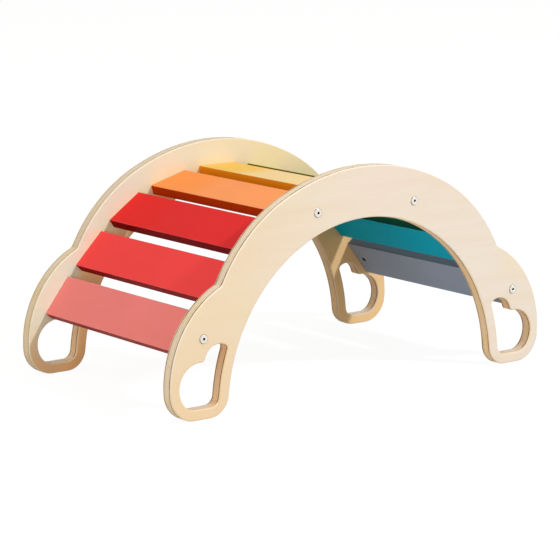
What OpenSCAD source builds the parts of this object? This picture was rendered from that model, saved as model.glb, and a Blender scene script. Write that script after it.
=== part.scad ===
// Rocker arch: two cloud-shaped plywood sides joined by nine painted slats.
// X runs along the arch, Y across it and Z up. The origin is on the floor, in the middle.

/* [Overall] */
// Length from the outside of one foot to the outside of the other
arch_len = 872; // [864:1:880]
// Width over the outer faces of the two sides
arch_w = 480; // [420:5:600]
// Height from the floor to the top of the rim
arch_h = 414.5; // [410:0.5:420]

/* [Side panel] */
// Thickness of a side panel
panel_t = 24; // [20:1:30]
// Radius of the crown, the top stretch of the rim
crown_r = 416; // [410:1:422]
// Half of the crown's angle, from the vertical
crown_half_angle = 27.5; // [24:0.5:30]
// Radius of the rim's shoulders, beside the crown
shoulder_r = 307; // [300:1:315]
// Radius of the lobe above each foot
lobe_r = 187.5; // [184:0.5:192]
// Height of the lobe's centre above the floor
lobe_z = 61; // [56:0.5:66]
// Rounding of the inward cusp between shoulder and lobe
cusp_r = 12; // [6:1:24]
// Rounding of the outer corner of each foot
foot_outer_r = 52; // [44:1:58]
// Rounding of the inner corner of each foot
foot_inner_r = 40; // [30:1:48]
// Width of a leg, from the outside of the foot to the open arch at its widest
leg_w = 124.5; // [120:0.5:129]
// Wood between the open arch and the top of the rim, in the middle
crown_w = 95; // [91:0.5:99]

/* [Handle hole in each foot] */
// Wood between the handle hole and the open arch, which a hand grips
grip_w = 21; // [18:0.5:24]
// Wood between the handle hole and the outside of the foot
foot_rim_w = 19.5; // [17:0.5:22]
// Wood under the handle hole
sole_h = 19.5; // [16:0.5:24]
// Radius of the hole's large lobe
palm_r = 44; // [42:0.5:46]
// Height of the large lobe's centre above the floor
palm_z = 58.5; // [56:0.5:61]
// Radius of the hole's small upper lobe
finger_r = 30; // [28:0.5:32]
// Height of the small lobe's centre above the floor
finger_z = 100.5; // [98:0.5:103]
// Distance of the small lobe's centre from the grip
finger_inset = 12.5; // [10:0.5:15]
// Rounding of the cusp between the hole's two lobes
hole_cusp_r = 8; // [4:0.5:12]
// Rounding of the hole's top corner
hole_top_r = 7; // [4:0.5:10]
// Rounding of the hole's bottom corner beside the grip
hole_grip_corner_r = 18; // [12:0.5:22]
// Rounding between the hole's large lobe and its flat bottom
hole_sole_corner_r = 30; // [26:0.5:34]

/* [Slats] */
// Width of a slat
slat_w = 83.5; // [70:0.5:86]
// Thickness of a slat
slat_t = 19; // [17:0.5:24]
// Rounding of a slat's long edges
slat_edge_r = 2; // [1:0.25:4]
// Distance of the top slat's middle from the open arch
top_slat_offset = 36.5; // [30:0.5:42]
// Distance of the second slat's middle from the open arch
second_slat_offset = 39; // [36:0.5:42]
// Distance of the third slat's middle from the open arch
third_slat_offset = 47; // [44:0.5:50]
// Distance of the fourth slat's middle from the open arch
fourth_slat_offset = 54; // [51:0.5:57]
// Distance of the lowest slat's middle from the open arch
lowest_slat_offset = 79; // [76:0.5:80]
// Height of the lowest slat's middle above the centre of the handle hole's small lobe
lowest_slat_rise = 43.5; // [41.5:0.5:50]
// Slope of the second slat
second_slat_slope = 16; // [14:0.5:18]
// Slope of the third slat
third_slat_slope = 35; // [33:0.5:37]
// Slope of the fourth slat
fourth_slat_slope = 45.5; // [43.5:0.5:47.5]
// Slope of the lowest slat
lowest_slat_slope = 52; // [50:0.5:54]
// Shares of the way round the open arch from each slat to the next one down, from the top down
slat_shares = [18.9, 17.7, 17, 16]; // [15.5:0.1:19.5]

/* [Bolts and barrel nuts] */
// Thread size of a bolt
bolt_d = 6; // [5:0.5:7]
// How far a bolt's tip passes the middle of its nut
bolt_past_nut = 4; // [3:0.5:5]
// Bevel on a bolt's tip
bolt_tip_bevel = 1; // [0.5:0.1:1.5]
// Diameter of a bolt head
bolt_head_d = 16.5; // [14:0.5:20]
// Height of a bolt head
bolt_head_h = 2.4; // [2:0.1:4]
// Bevel on a bolt head's rim
bolt_head_bevel = 1.2; // [0.5:0.1:1.6]
// Hex socket across its flats
socket_af = 4; // [3:0.5:4]
// Depth of the hex socket
socket_depth = 3.2; // [2:0.1:5]
// Diameter of a barrel nut
nut_d = 10; // [9.5:0.5:12]
// Length of a barrel nut
nut_len = 12; // [10:0.5:14]
// Distance of a barrel nut's middle from the slat's end
nut_setback = 22; // [18:0.5:30]

/* [Dowels] */
// Diameter of a dowel
dowel_d = 8; // [6:0.5:10]
// Wood left between a dowel's hole and the outer face of the side panel
dowel_cover = 9.5; // [6:0.5:12]
// Depth that a dowel goes into the slat
dowel_in_slat = 18; // [12:0.5:30]
// Distance between the two dowels in a slat's end
dowel_spacing = 52; // [40:1:56]
// Bevel on a dowel's ends
dowel_bevel = 1; // [0.5:0.1:2]

/* [Clearances] */
// Extra diameter of a bolt's hole over the bolt
bolt_clearance = 0.6; // [0.2:0.1:1]
// Extra diameter of the nut's thread over the bolt
thread_clearance = 0.1; // [0.05:0.01:0.2]
// Extra diameter of the nut's hole over the nut
nut_clearance = 0.3; // [0.1:0.1:0.6]
// Extra diameter of a dowel's hole over the dowel
dowel_clearance = 0.1; // [0.05:0.01:0.2]
// Extra depth of a blind hole over what goes into it
blind_clearance = 0.5; // [0.2:0.1:1]

/* [Hidden] */
$fn = 96;
HEX_SIDES = 6;
SLAT_NAMES = ["coral", "light_red", "red", "orange", "yellow", "lime", "green", "teal", "grey"];
SLAT_COLORS = [
    "#e57c74", "#f04846", "#e03030", "#fd9e5e", "#fccd69", "#b9bf3a", "#1c7a45", "#057d86", "#6e767e"
];
TOP_SLAT = 4;
BOLTED_SLATS = [0, 3, 5, 8];
SIDES = ["front", "rear"];

// Length of a slat, between the inner faces of the sides
slat_len = arch_w - 2 * panel_t;
// Length of a bolt under its head
bolt_len = panel_t + nut_setback + bolt_past_nut;
// Depth that a dowel goes into the side panel
dowel_in_panel = panel_t - dowel_cover - blind_clearance;
// A cut runs this far past the face that it opens
OVERRUN = 1;
// The furthest that a chord of an outline cuts inside its arc
CHORD_SAG = 0.05;
// Points of an outline closer than this are one point
SAME_POINT = 0.001;

// ---- Plane geometry. Points are [x, z], seen from the front. ----

// The point at distance r from c, towards the point p
function toward(c, p, r) = c + r * (p - c) / norm(p - c);

// Where two circles meet: side is 1 for the point to the left of the way from c0 to c1, -1 for the right
function meet(c0, r0, c1, r1, side) =
    let (d = norm(c1 - c0), a = (d * d + r0 * r0 - r1 * r1) / (2 * d), h = sqrt(r0 * r0 - a * a))
    let (u = (c1 - c0) / d)
    c0 + a * u + side * h * [-u[1], u[0]];

// The centre at height z whose distance from c is d, on the side away from the middle of the arch
function outward_at_height(c, d, z) = [c[0] + sqrt(d * d - pow(z - c[1], 2)), z];

function mirrored(p) = [-p[0], p[1]];
function reversed(list) = [for (i = [len(list) - 1 : -1 : 0]) list[i]];

// An arc of an outline: its centre, radius and ends, and 1 if it runs clockwise or -1 if it doesn't
function arc(c, r, from, to, turn) = [c, r, from, to, turn];
function mirrored_arc(a) = arc(mirrored(a[0]), a[1], mirrored(a[3]), mirrored(a[2]), a[4]);
function bearing(v) = atan2(v[1], v[0]);
function full_circle(angle) = (angle % 360 + 360) % 360;

// The points along an arc, its ends included
function arc_points(a) =
    let (c = a[0], r = a[1], start = bearing(a[2] - c), turn = a[4])
    let (sweep = full_circle(turn * (start - bearing(a[3] - c))))
    let (chords = ceil(sweep / (2 * acos(1 - CHORD_SAG / r))))
    [for (k = [0 : chords])
        let (angle = start - turn * sweep * k / chords)
        c + r * [cos(angle), sin(angle)]];

// A closed outline through arcs, with a straight line wherever an arc doesn't start at the last one's end
function outline(arcs) =
    let (points = [for (a = arcs) each arc_points(a)], count = len(points))
    [for (i = [0 : count - 1]) if (norm(points[i] - points[(i + 1) % count]) > SAME_POINT) points[i]];

// ---- The side panel's outline, right half, from the crown down to the foot and the open arch ----

crown_c = [0, arch_h - crown_r];
shoulder_c = crown_c + (crown_r - shoulder_r) * [sin(crown_half_angle), cos(crown_half_angle)];
lobe_c = [arch_len / 2 - lobe_r, lobe_z];
cusp_c = meet(shoulder_c, shoulder_r + cusp_r, lobe_c, lobe_r + cusp_r, 1);
foot_outer_c = outward_at_height(lobe_c, lobe_r - foot_outer_r, foot_outer_r);
inner_r = arch_len / 2 - leg_w;
inner_c = [0, arch_h - crown_w - inner_r];
foot_inner_c = outward_at_height(inner_c, inner_r + foot_inner_r, foot_inner_r);

crown_end = toward(crown_c, shoulder_c, crown_r);
shoulder_end = toward(shoulder_c, cusp_c, shoulder_r);
lobe_start = toward(lobe_c, cusp_c, lobe_r);
lobe_end = toward(lobe_c, foot_outer_c, lobe_r);
sole_start = [foot_outer_c[0], 0];
sole_end = [foot_inner_c[0], 0];
inner_start = toward(inner_c, foot_inner_c, inner_r);

half_arcs = [
    arc(shoulder_c, shoulder_r, crown_end, shoulder_end, 1),
    arc(cusp_c, cusp_r, shoulder_end, lobe_start, -1),
    arc(lobe_c, lobe_r, lobe_start, lobe_end, 1),
    arc(foot_outer_c, foot_outer_r, lobe_end, sole_start, 1),
    arc(foot_inner_c, foot_inner_r, sole_end, inner_start, 1)
];
panel_arcs = concat(
    [arc(crown_c, crown_r, mirrored(crown_end), crown_end, 1)],
    half_arcs,
    [arc(inner_c, inner_r, inner_start, mirrored(inner_start), -1)],
    reversed([for (a = half_arcs) mirrored_arc(a)])
);

// ---- The handle hole's outline, in the right foot ----

grip_r = inner_r + grip_w;
palm_c = outward_at_height(lobe_c, lobe_r - foot_rim_w - palm_r, palm_z);
finger_c = outward_at_height(inner_c, grip_r + finger_inset, finger_z);
hole_top_c = meet(inner_c, grip_r + hole_top_r, finger_c, finger_r - hole_top_r, 1);
hole_cusp_c = meet(palm_c, palm_r + hole_cusp_r, finger_c, finger_r + hole_cusp_r, -1);
hole_sole_c = outward_at_height(palm_c, palm_r - hole_sole_corner_r, sole_h + hole_sole_corner_r);
hole_grip_c = outward_at_height(inner_c, grip_r + hole_grip_corner_r, sole_h + hole_grip_corner_r);

grip_top = toward(inner_c, hole_top_c, grip_r);
finger_start = toward(finger_c, hole_top_c, finger_r);
finger_end = toward(finger_c, hole_cusp_c, finger_r);
palm_start = toward(palm_c, hole_cusp_c, palm_r);
palm_end = toward(palm_c, hole_sole_c, palm_r);
hole_sole_start = [hole_sole_c[0], sole_h];
hole_sole_end = [hole_grip_c[0], sole_h];
grip_bottom = toward(inner_c, hole_grip_c, grip_r);

hole_arcs = [
    arc(hole_top_c, hole_top_r, grip_top, finger_start, 1),
    arc(finger_c, finger_r, finger_start, finger_end, 1),
    arc(hole_cusp_c, hole_cusp_r, finger_end, palm_start, -1),
    arc(palm_c, palm_r, palm_start, palm_end, 1),
    arc(hole_sole_c, hole_sole_corner_r, palm_end, hole_sole_start, 1),
    arc(hole_grip_c, hole_grip_corner_r, hole_sole_end, grip_bottom, 1),
    arc(inner_c, grip_r, grip_bottom, grip_top, -1)
];

// ---- Where the slats lie. Slat 0 is the lowest on the left, slat 8 the lowest on the right. ----

// The values for the top slat and the four below it on either side
offsets = [top_slat_offset, second_slat_offset, third_slat_offset, fourth_slat_offset, lowest_slat_offset];
slopes = [0, second_slat_slope, third_slat_slope, fourth_slat_slope, lowest_slat_slope];
// Angle of the lowest slat from the vertical, about the open arch's centre
lowest_slat_angle = acos((finger_z + lowest_slat_rise - inner_c[1]) / (inner_r + lowest_slat_offset));

function sum_of_first(list, count) = count == 0 ? 0 : list[count - 1] + sum_of_first(list, count - 1);
function steps_down(i) = abs(i - TOP_SLAT);
function slat_side(i) = sign(i - TOP_SLAT);
function slat_angle(i) =
    slat_side(i) * lowest_slat_angle
    * sum_of_first(slat_shares, steps_down(i)) / sum_of_first(slat_shares, len(slat_shares));
function slat_slope(i) = slat_side(i) * slopes[steps_down(i)];
function slat_middle(i) =
    inner_c + (inner_r + offsets[steps_down(i)]) * [sin(slat_angle(i)), cos(slat_angle(i))];
function is_bolted(i) = len([for (b = BOLTED_SLATS) if (b == i) b]) > 0;

// Puts children into a slat's own frame: X across its width, Y along it, Z out of its top face
module at_slat(i) {
    p = slat_middle(i);
    translate([p[0], 0, p[1]]) rotate([0, slat_slope(i), 0]) children();
}

// Puts children at a slat's end, with Z running out of the slat along its length
module at_slat_end(i, side) {
    at_slat(i) rotate([side == "front" ? 90 : -90, 0, 0]) translate([0, 0, slat_len / 2]) children();
}

// Puts children at the two dowels of a slat's end
module at_dowels(i, side) {
    for (x = [-1, 1] * dowel_spacing / 2) at_slat_end(i, side) translate([x, 0, 0]) children();
}

// A hole along Z between two heights
module hole(d, from, to) {
    translate([0, 0, from]) cylinder(d = d, h = to - from);
}

// ---- Pieces ----

module panel(side) {
    outer_y = side == "front" ? -arch_w / 2 : arch_w / 2;
    inner_y = outer_y - sign(outer_y) * panel_t;
    color("#ecd9b8")
    difference() {
        translate([0, max(outer_y, inner_y), 0]) rotate([90, 0, 0]) difference() {
            linear_extrude(panel_t) polygon(outline(panel_arcs));
            for (flip = [0, 1])
                mirror([flip, 0, 0]) translate([0, 0, -OVERRUN])
                linear_extrude(panel_t + 2 * OVERRUN) polygon(outline(hole_arcs));
        }
        for (i = [0 : len(SLAT_NAMES) - 1])
            at_dowels(i, side) hole(dowel_d + dowel_clearance, -OVERRUN, dowel_in_panel + blind_clearance);
        for (i = BOLTED_SLATS)
            at_slat_end(i, side) hole(bolt_d + bolt_clearance, -OVERRUN, panel_t + OVERRUN);
    }
}

// A plain slat in its own frame, with its long edges rounded
module slat_blank() {
    r = slat_edge_r;
    union() {
        cube([slat_w - 2 * r, slat_len, slat_t], center = true);
        cube([slat_w, slat_len, slat_t - 2 * r], center = true);
        for (x = [-1, 1] * (slat_w / 2 - r), z = [-1, 1] * (slat_t / 2 - r))
            translate([x, 0, z]) rotate([90, 0, 0]) cylinder(r = r, h = slat_len, center = true);
    }
}

// The nut's hole opens in the slat's underside, and its bottom lies just past the nut
module nut_hole(side) {
    y = (side == "front" ? -1 : 1) * (slat_len / 2 - nut_setback);
    translate([0, y, 0]) hole(nut_d + nut_clearance, -slat_t / 2 - OVERRUN, nut_len / 2 + blind_clearance);
}

module slat(i) {
    color(SLAT_COLORS[i])
    difference() {
        at_slat(i) slat_blank();
        for (side = SIDES) {
            at_dowels(i, side) hole(dowel_d + dowel_clearance, -dowel_in_slat - blind_clearance, OVERRUN);
            if (is_bolted(i)) {
                at_slat_end(i, side)
                hole(bolt_d + bolt_clearance, panel_t - bolt_len - blind_clearance, OVERRUN);
                at_slat(i) nut_hole(side);
            }
        }
    }
}

module slat_dowels(i) {
    r = dowel_d / 2;
    color("#d9bd8b")
    for (side = SIDES)
        at_dowels(i, side) rotate_extrude() polygon([
            [0, -dowel_in_slat],
            [r - dowel_bevel, -dowel_in_slat],
            [r, -dowel_in_slat + dowel_bevel],
            [r, dowel_in_panel - dowel_bevel],
            [r - dowel_bevel, dowel_in_panel],
            [0, dowel_in_panel]
        ]);
}

// A low round head on a plain shank that stands for the thread
module bolt(i, side) {
    head_r = bolt_head_d / 2;
    shank_r = bolt_d / 2;
    color("silver")
    at_slat_end(i, side) translate([0, 0, panel_t]) difference() {
        rotate_extrude() polygon([
            [0, bolt_head_h],
            [head_r - bolt_head_bevel, bolt_head_h],
            [head_r, bolt_head_h - bolt_head_bevel],
            [head_r, 0],
            [shank_r, 0],
            [shank_r, bolt_tip_bevel - bolt_len],
            [shank_r - bolt_tip_bevel, -bolt_len],
            [0, -bolt_len]
        ]);
        translate([0, 0, bolt_head_h - socket_depth])
        cylinder(d = socket_af / cos(180 / HEX_SIDES), h = socket_depth + OVERRUN, $fn = HEX_SIDES);
    }
}

module barrel_nut(i, side) {
    color("gainsboro")
    at_slat_end(i, side) translate([0, 0, -nut_setback]) difference() {
        rotate([90, 0, 0]) cylinder(d = nut_d, h = nut_len, center = true);
        cylinder(d = bolt_d + thread_clearance, h = nut_d + 2 * OVERRUN, center = true);
    }
}

for (side = SIDES) {
    panel(side);
}
for (i = [0 : len(SLAT_NAMES) - 1]) {
    slat(i);
    slat_dowels(i);
}
for (i = BOLTED_SLATS, side = SIDES) {
    bolt(i, side);
    barrel_nut(i, side);
}
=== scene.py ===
"""The looks of a wooden rocker arch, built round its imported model.

Two birch plywood sides, cut to a cloud outline with a handle hole in each foot, carry nine painted
slats. Every slat end sits on two fluted dowels, and four of the slats are also drawn up by a bolt and
a cross nut at each end. Lengths are in metres. X runs along the arch, Y across it and Z up.
"""

import logging
import math
from contextlib import contextmanager
from dataclasses import dataclass
from enum import Enum
from typing import Callable, Iterable, Iterator, NamedTuple, Sequence

import bmesh
import bpy
from mathutils import Matrix, Vector
from mathutils.geometry import tessellate_polygon


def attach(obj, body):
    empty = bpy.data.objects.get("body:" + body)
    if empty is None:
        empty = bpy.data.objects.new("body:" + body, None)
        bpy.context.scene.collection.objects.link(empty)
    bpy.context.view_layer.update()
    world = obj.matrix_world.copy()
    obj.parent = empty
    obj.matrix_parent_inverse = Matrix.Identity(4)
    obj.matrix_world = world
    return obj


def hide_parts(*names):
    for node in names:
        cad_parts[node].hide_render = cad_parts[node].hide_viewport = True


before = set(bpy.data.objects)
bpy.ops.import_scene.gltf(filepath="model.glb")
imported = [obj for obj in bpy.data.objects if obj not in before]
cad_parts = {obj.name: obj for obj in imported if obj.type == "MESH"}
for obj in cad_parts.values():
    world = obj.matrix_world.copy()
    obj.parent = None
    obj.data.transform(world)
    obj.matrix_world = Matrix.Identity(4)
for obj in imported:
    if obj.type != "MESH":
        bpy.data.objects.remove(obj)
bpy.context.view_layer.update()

LOG = logging.getLogger("rocker_arch")
MM = 0.001
BODY = "root"
Colour = tuple[float, float, float, float]
BLACK: Colour = (0.0, 0.0, 0.0, 1.0)
WHITE: Colour = (1.0, 1.0, 1.0, 1.0)

# How far the boards' outer faces lie from the middle of the arch, and how thick the boards are.
BOARD_OUTER = 240 * MM
BOARD_THICKNESS = 24 * MM

# Corners that are nearer to each other than this are one corner.
NEAREST = 0.002 * MM

# How far a cutter reaches past the face that it opens.
PAST = 1 * MM


# ---- Small helpers ----


def shade(red: float, green: float, blue: float) -> Colour:
    """Turns a colour as a screen shows it into the linear one that a material takes.

    Args:
        red: Red, from 0 to 255.
        green: Green, from 0 to 255.
        blue: Blue, from 0 to 255.

    Returns:
        The linear colour, with an alpha of 1.
    """

    def linear(value: float) -> float:
        """Undoes the screen's standard curve for one channel."""
        part = value / 255
        return part / 12.92 if part <= 0.04045 else ((part + 0.055) / 1.055) ** 2.4

    return (linear(red), linear(green), linear(blue), 1.0)


class End(Enum):
    """The two ends of a slat, and the side board that each one meets."""

    FRONT = "front"
    REAR = "rear"

    @property
    def sign(self) -> int:
        """-1 for the front, which faces -Y, and 1 for the rear."""
        return -1 if self is End.FRONT else 1


# ---- Plane geometry of the outlines. A 2-D point is (x, z), seen from the front. ----


def toward(centre: Vector, point: Vector, radius: float) -> Vector:
    """Returns the point at a radius from a centre, on the way to another point."""
    return centre + radius * (point - centre).normalized()


def meet(first: Vector, first_radius: float, second: Vector, second_radius: float, side: int) -> Vector:
    """Finds where two circles meet.

    Args:
        first: The centre of the first circle.
        first_radius: Its radius.
        second: The centre of the second circle.
        second_radius: Its radius.
        side: 1 for the point to the left of the way from first to second, -1 for the right.

    Returns:
        The point where they meet.
    """
    way = second - first
    span = way.length
    along = (span * span + first_radius**2 - second_radius**2) / (2 * span)
    across = math.sqrt(first_radius**2 - along**2)
    unit = way / span
    return first + along * unit + side * across * Vector((-unit.y, unit.x))


def outward_at_height(centre: Vector, distance: float, height: float) -> Vector:
    """Returns the point at a height and a distance from a centre, on the side away from the middle."""
    return Vector((centre.x + math.sqrt(distance**2 - (height - centre.y) ** 2), height))


def mirrored(point: Vector) -> Vector:
    """Returns a point's mirror image in the middle of the arch."""
    return Vector((-point.x, point.y))


class RimPoint(NamedTuple):
    """A point of an outline, and the direction that points out of the shape there."""

    at: Vector
    out: Vector


@dataclass(frozen=True)
class Arc:
    """One arc of an outline. Its turn is 1 where it runs clockwise and -1 where it doesn't."""

    centre: Vector
    radius: float
    start: Vector
    end: Vector
    turn: int

    def mirror_image(self) -> "Arc":
        """Returns this arc on the other half of the arch, run the same way round."""
        return Arc(mirrored(self.centre), self.radius, mirrored(self.end), mirrored(self.start), self.turn)

    def points(self, sag: float = 0.05 * MM) -> list[RimPoint]:
        """Steps along the arc.

        Args:
            sag: The furthest that a straight step may cut inside the arc.

        Returns:
            The points from the arc's start to its end, both included.
        """
        first = self.start - self.centre
        last = self.end - self.centre
        begin = math.atan2(first.y, first.x)
        sweep = (self.turn * (begin - math.atan2(last.y, last.x))) % math.tau
        steps = max(1, math.ceil(sweep / (2 * math.acos(1 - sag / self.radius))))
        found = []
        for step in range(steps + 1):
            angle = begin - self.turn * sweep * step / steps
            ray = Vector((math.cos(angle), math.sin(angle)))
            found.append(RimPoint(self.centre + self.radius * ray, self.turn * ray))
        return found


def closed_rim(arcs: Iterable[Arc]) -> list[RimPoint]:
    """Joins arcs into one closed outline.

    Args:
        arcs: The arcs in order. A straight line joins two that don't meet.

    Returns:
        The outline's points, clockwise, with none given twice.
    """
    points = [point for arc in arcs for point in arc.points()]
    count = len(points)
    return [p for k, p in enumerate(points) if (p.at - points[(k + 1) % count].at).length > NEAREST]


@dataclass(frozen=True)
class CloudOutline:
    """The rim of a side board, from the crown over shoulder and lobe to the foot and the open arch."""

    length: float = 872 * MM
    height: float = 414.5 * MM
    crown_radius: float = 416 * MM
    crown_half_angle: float = math.radians(27.5)
    shoulder_radius: float = 307 * MM
    lobe_radius: float = 187.5 * MM
    lobe_height: float = 61 * MM
    cusp_radius: float = 12 * MM
    foot_outer_radius: float = 52 * MM
    foot_inner_radius: float = 40 * MM
    leg_width: float = 124.5 * MM
    crown_width: float = 95 * MM

    @property
    def lobe_centre(self) -> Vector:
        """The centre of the right lobe."""
        return Vector((self.length / 2 - self.lobe_radius, self.lobe_height))

    @property
    def arch_radius(self) -> float:
        """The radius of the open arch."""
        return self.length / 2 - self.leg_width

    @property
    def arch_centre(self) -> Vector:
        """The centre of the open arch."""
        return Vector((0, self.height - self.crown_width - self.arch_radius))

    def rim(self) -> list[RimPoint]:
        """Walks round the whole outline.

        Returns:
            Its points, clockwise from the left end of the crown.
        """
        crown = Vector((0, self.height - self.crown_radius))
        lean = Vector((math.sin(self.crown_half_angle), math.cos(self.crown_half_angle)))
        shoulder = crown + (self.crown_radius - self.shoulder_radius) * lean
        lobe = self.lobe_centre
        cusp = meet(
            shoulder, self.shoulder_radius + self.cusp_radius, lobe, self.lobe_radius + self.cusp_radius, 1
        )
        outer = outward_at_height(lobe, self.lobe_radius - self.foot_outer_radius, self.foot_outer_radius)
        arch = self.arch_centre
        inner = outward_at_height(arch, self.arch_radius + self.foot_inner_radius, self.foot_inner_radius)
        crown_end = toward(crown, shoulder, self.crown_radius)
        shoulder_end = toward(shoulder, cusp, self.shoulder_radius)
        lobe_start = toward(lobe, cusp, self.lobe_radius)
        lobe_end = toward(lobe, outer, self.lobe_radius)
        sole_start = Vector((outer.x, 0))
        sole_end = Vector((inner.x, 0))
        arch_start = toward(arch, inner, self.arch_radius)
        half = [
            Arc(shoulder, self.shoulder_radius, crown_end, shoulder_end, 1),
            Arc(cusp, self.cusp_radius, shoulder_end, lobe_start, -1),
            Arc(lobe, self.lobe_radius, lobe_start, lobe_end, 1),
            Arc(outer, self.foot_outer_radius, lobe_end, sole_start, 1),
            Arc(inner, self.foot_inner_radius, sole_end, arch_start, 1),
        ]
        top = Arc(crown, self.crown_radius, mirrored(crown_end), crown_end, 1)
        under = Arc(arch, self.arch_radius, arch_start, mirrored(arch_start), -1)
        return closed_rim([top, *half, under, *(arc.mirror_image() for arc in reversed(half))])


@dataclass(frozen=True)
class HandleHole:
    """The hole in a foot: a large lobe for the palm, a small one above it, and a grip beside them."""

    cloud: CloudOutline
    grip_width: float = 21 * MM
    foot_rim_width: float = 19.5 * MM
    sole_height: float = 19.5 * MM
    palm_radius: float = 44 * MM
    palm_height: float = 58.5 * MM
    finger_radius: float = 30 * MM
    finger_height: float = 100.5 * MM
    finger_inset: float = 12.5 * MM
    cusp_radius: float = 8 * MM
    top_radius: float = 7 * MM
    grip_corner_radius: float = 18 * MM
    sole_corner_radius: float = 30 * MM

    def rim(self) -> list[RimPoint]:
        """Walks round the hole in the right foot.

        Returns:
            The hole's points, clockwise, each with the direction out of the hole and into the wood.
        """
        arch = self.cloud.arch_centre
        grip_radius = self.cloud.arch_radius + self.grip_width
        reach = self.cloud.lobe_radius - self.foot_rim_width - self.palm_radius
        palm = outward_at_height(self.cloud.lobe_centre, reach, self.palm_height)
        finger = outward_at_height(arch, grip_radius + self.finger_inset, self.finger_height)
        top = meet(arch, grip_radius + self.top_radius, finger, self.finger_radius - self.top_radius, 1)
        cusp = meet(
            palm, self.palm_radius + self.cusp_radius, finger, self.finger_radius + self.cusp_radius, -1
        )
        low = self.sole_height + self.sole_corner_radius
        sole = outward_at_height(palm, self.palm_radius - self.sole_corner_radius, low)
        low = self.sole_height + self.grip_corner_radius
        corner = outward_at_height(arch, grip_radius + self.grip_corner_radius, low)
        grip_top = toward(arch, top, grip_radius)
        finger_start = toward(finger, top, self.finger_radius)
        finger_end = toward(finger, cusp, self.finger_radius)
        palm_start = toward(palm, cusp, self.palm_radius)
        palm_end = toward(palm, sole, self.palm_radius)
        sole_start = Vector((sole.x, self.sole_height))
        sole_end = Vector((corner.x, self.sole_height))
        grip_bottom = toward(arch, corner, grip_radius)
        arcs = [
            Arc(top, self.top_radius, grip_top, finger_start, 1),
            Arc(finger, self.finger_radius, finger_start, finger_end, 1),
            Arc(cusp, self.cusp_radius, finger_end, palm_start, -1),
            Arc(palm, self.palm_radius, palm_start, palm_end, 1),
            Arc(sole, self.sole_corner_radius, palm_end, sole_start, 1),
            Arc(corner, self.grip_corner_radius, sole_end, grip_bottom, 1),
            Arc(arch, grip_radius, grip_bottom, grip_top, -1),
        ]
        return closed_rim(arcs)


# ---- Meshes ----


class Shape:
    """Gathers the corners and faces of one piece, and makes the piece."""

    def __init__(self) -> None:
        """Starts with nothing."""
        self.corners: list[Vector] = []
        self.faces: list[tuple[int, ...]] = []
        self.finish_numbers: list[int] = []

    def ring(self, points: Iterable[Vector]) -> list[int]:
        """Adds corners.

        Args:
            points: Where the corners lie.

        Returns:
            The numbers of the new corners.
        """
        first = len(self.corners)
        self.corners.extend(points)
        return list(range(first, len(self.corners)))

    def face(self, corners: Sequence[int], finish: int = 0) -> None:
        """Adds one face.

        Args:
            corners: The numbers of its corners.
            finish: The number of its finish.
        """
        self.faces.append(tuple(corners))
        self.finish_numbers.append(finish)

    def band(self, first: Sequence[int], second: Sequence[int], finish: int = 0) -> None:
        """Joins two rings of equal count by a band of four-sided faces.

        Args:
            first: One ring.
            second: The other ring.
            finish: The number of the band's finish.
        """
        count = len(first)
        for k in range(count):
            after = (k + 1) % count
            self.face((first[k], first[after], second[after], second[k]), finish)

    def bands(self, rings: Sequence[Sequence[int]], finish: int = 0) -> None:
        """Joins each ring to the next one."""
        for first, second in zip(rings, rings[1:]):
            self.band(first, second, finish)

    def flat(self, loops: Sequence[Sequence[int]], finish: int = 0) -> None:
        """Fills a flat region with holes.

        Args:
            loops: The outline first and then its holes, as corner numbers.
            finish: The number of the region's finish.
        """
        numbers = [number for loop in loops for number in loop]
        outlines = [[self.corners[number] / MM for number in loop] for loop in loops]
        for triangle in tessellate_polygon(outlines):
            self.face([numbers[k] for k in triangle], finish)

    def piece(
        self, name: str, finishes: Sequence[bpy.types.Material], place: Matrix | None = None
    ) -> bpy.types.Object:
        """Makes the piece, with all its faces turned outward.

        Args:
            name: The piece's name.
            finishes: Its materials, in the order of the finish numbers.
            place: Where the piece's own frame lies.

        Returns:
            The new object.
        """
        mesh = bpy.data.meshes.new(name)
        mesh.from_pydata(self.corners, [], self.faces)
        for finish in finishes:
            mesh.materials.append(finish)
        mesh.polygons.foreach_set("material_index", self.finish_numbers)
        mesh.validate()
        turn_outwards(mesh)
        piece = bpy.data.objects.new(name, mesh)
        bpy.context.scene.collection.objects.link(piece)
        piece.matrix_world = place or Matrix.Identity(4)
        return piece


@contextmanager
def opened(mesh: bpy.types.Mesh) -> Iterator[bmesh.types.BMesh]:
    """Opens a mesh for an edit, and puts what comes of it back.

    Args:
        mesh: The mesh.

    Yields:
        The mesh as it can be edited.
    """
    work = bmesh.new()
    work.from_mesh(mesh)
    yield work
    work.to_mesh(mesh)
    work.free()


def turn_outwards(mesh: bpy.types.Mesh) -> None:
    """Turns all the faces of a closed mesh to face out of it."""
    with opened(mesh) as work:
        bmesh.ops.recalc_face_normals(work, faces=work.faces)


def clear_slivers(mesh: bpy.types.Mesh) -> None:
    """Joins corners that a cut has left too near to each other."""
    with opened(mesh) as work:
        bmesh.ops.dissolve_degenerate(work, dist=NEAREST, edges=work.edges)


def smooth(piece: bpy.types.Object, crisp_angle: float = 32) -> bpy.types.Object:
    """Shades a piece smooth except over its crisp edges.

    Args:
        piece: The piece.
        crisp_angle: Edges that turn by more than this many degrees stay crisp.

    Returns:
        The same piece.
    """
    piece.data.shade_smooth()
    piece.data.set_sharp_from_angle(angle=math.radians(crisp_angle))
    weighted = piece.modifiers.new("flat faces stay flat", "WEIGHTED_NORMAL")
    weighted.keep_sharp = True
    weighted.weight = 100
    return piece


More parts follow.
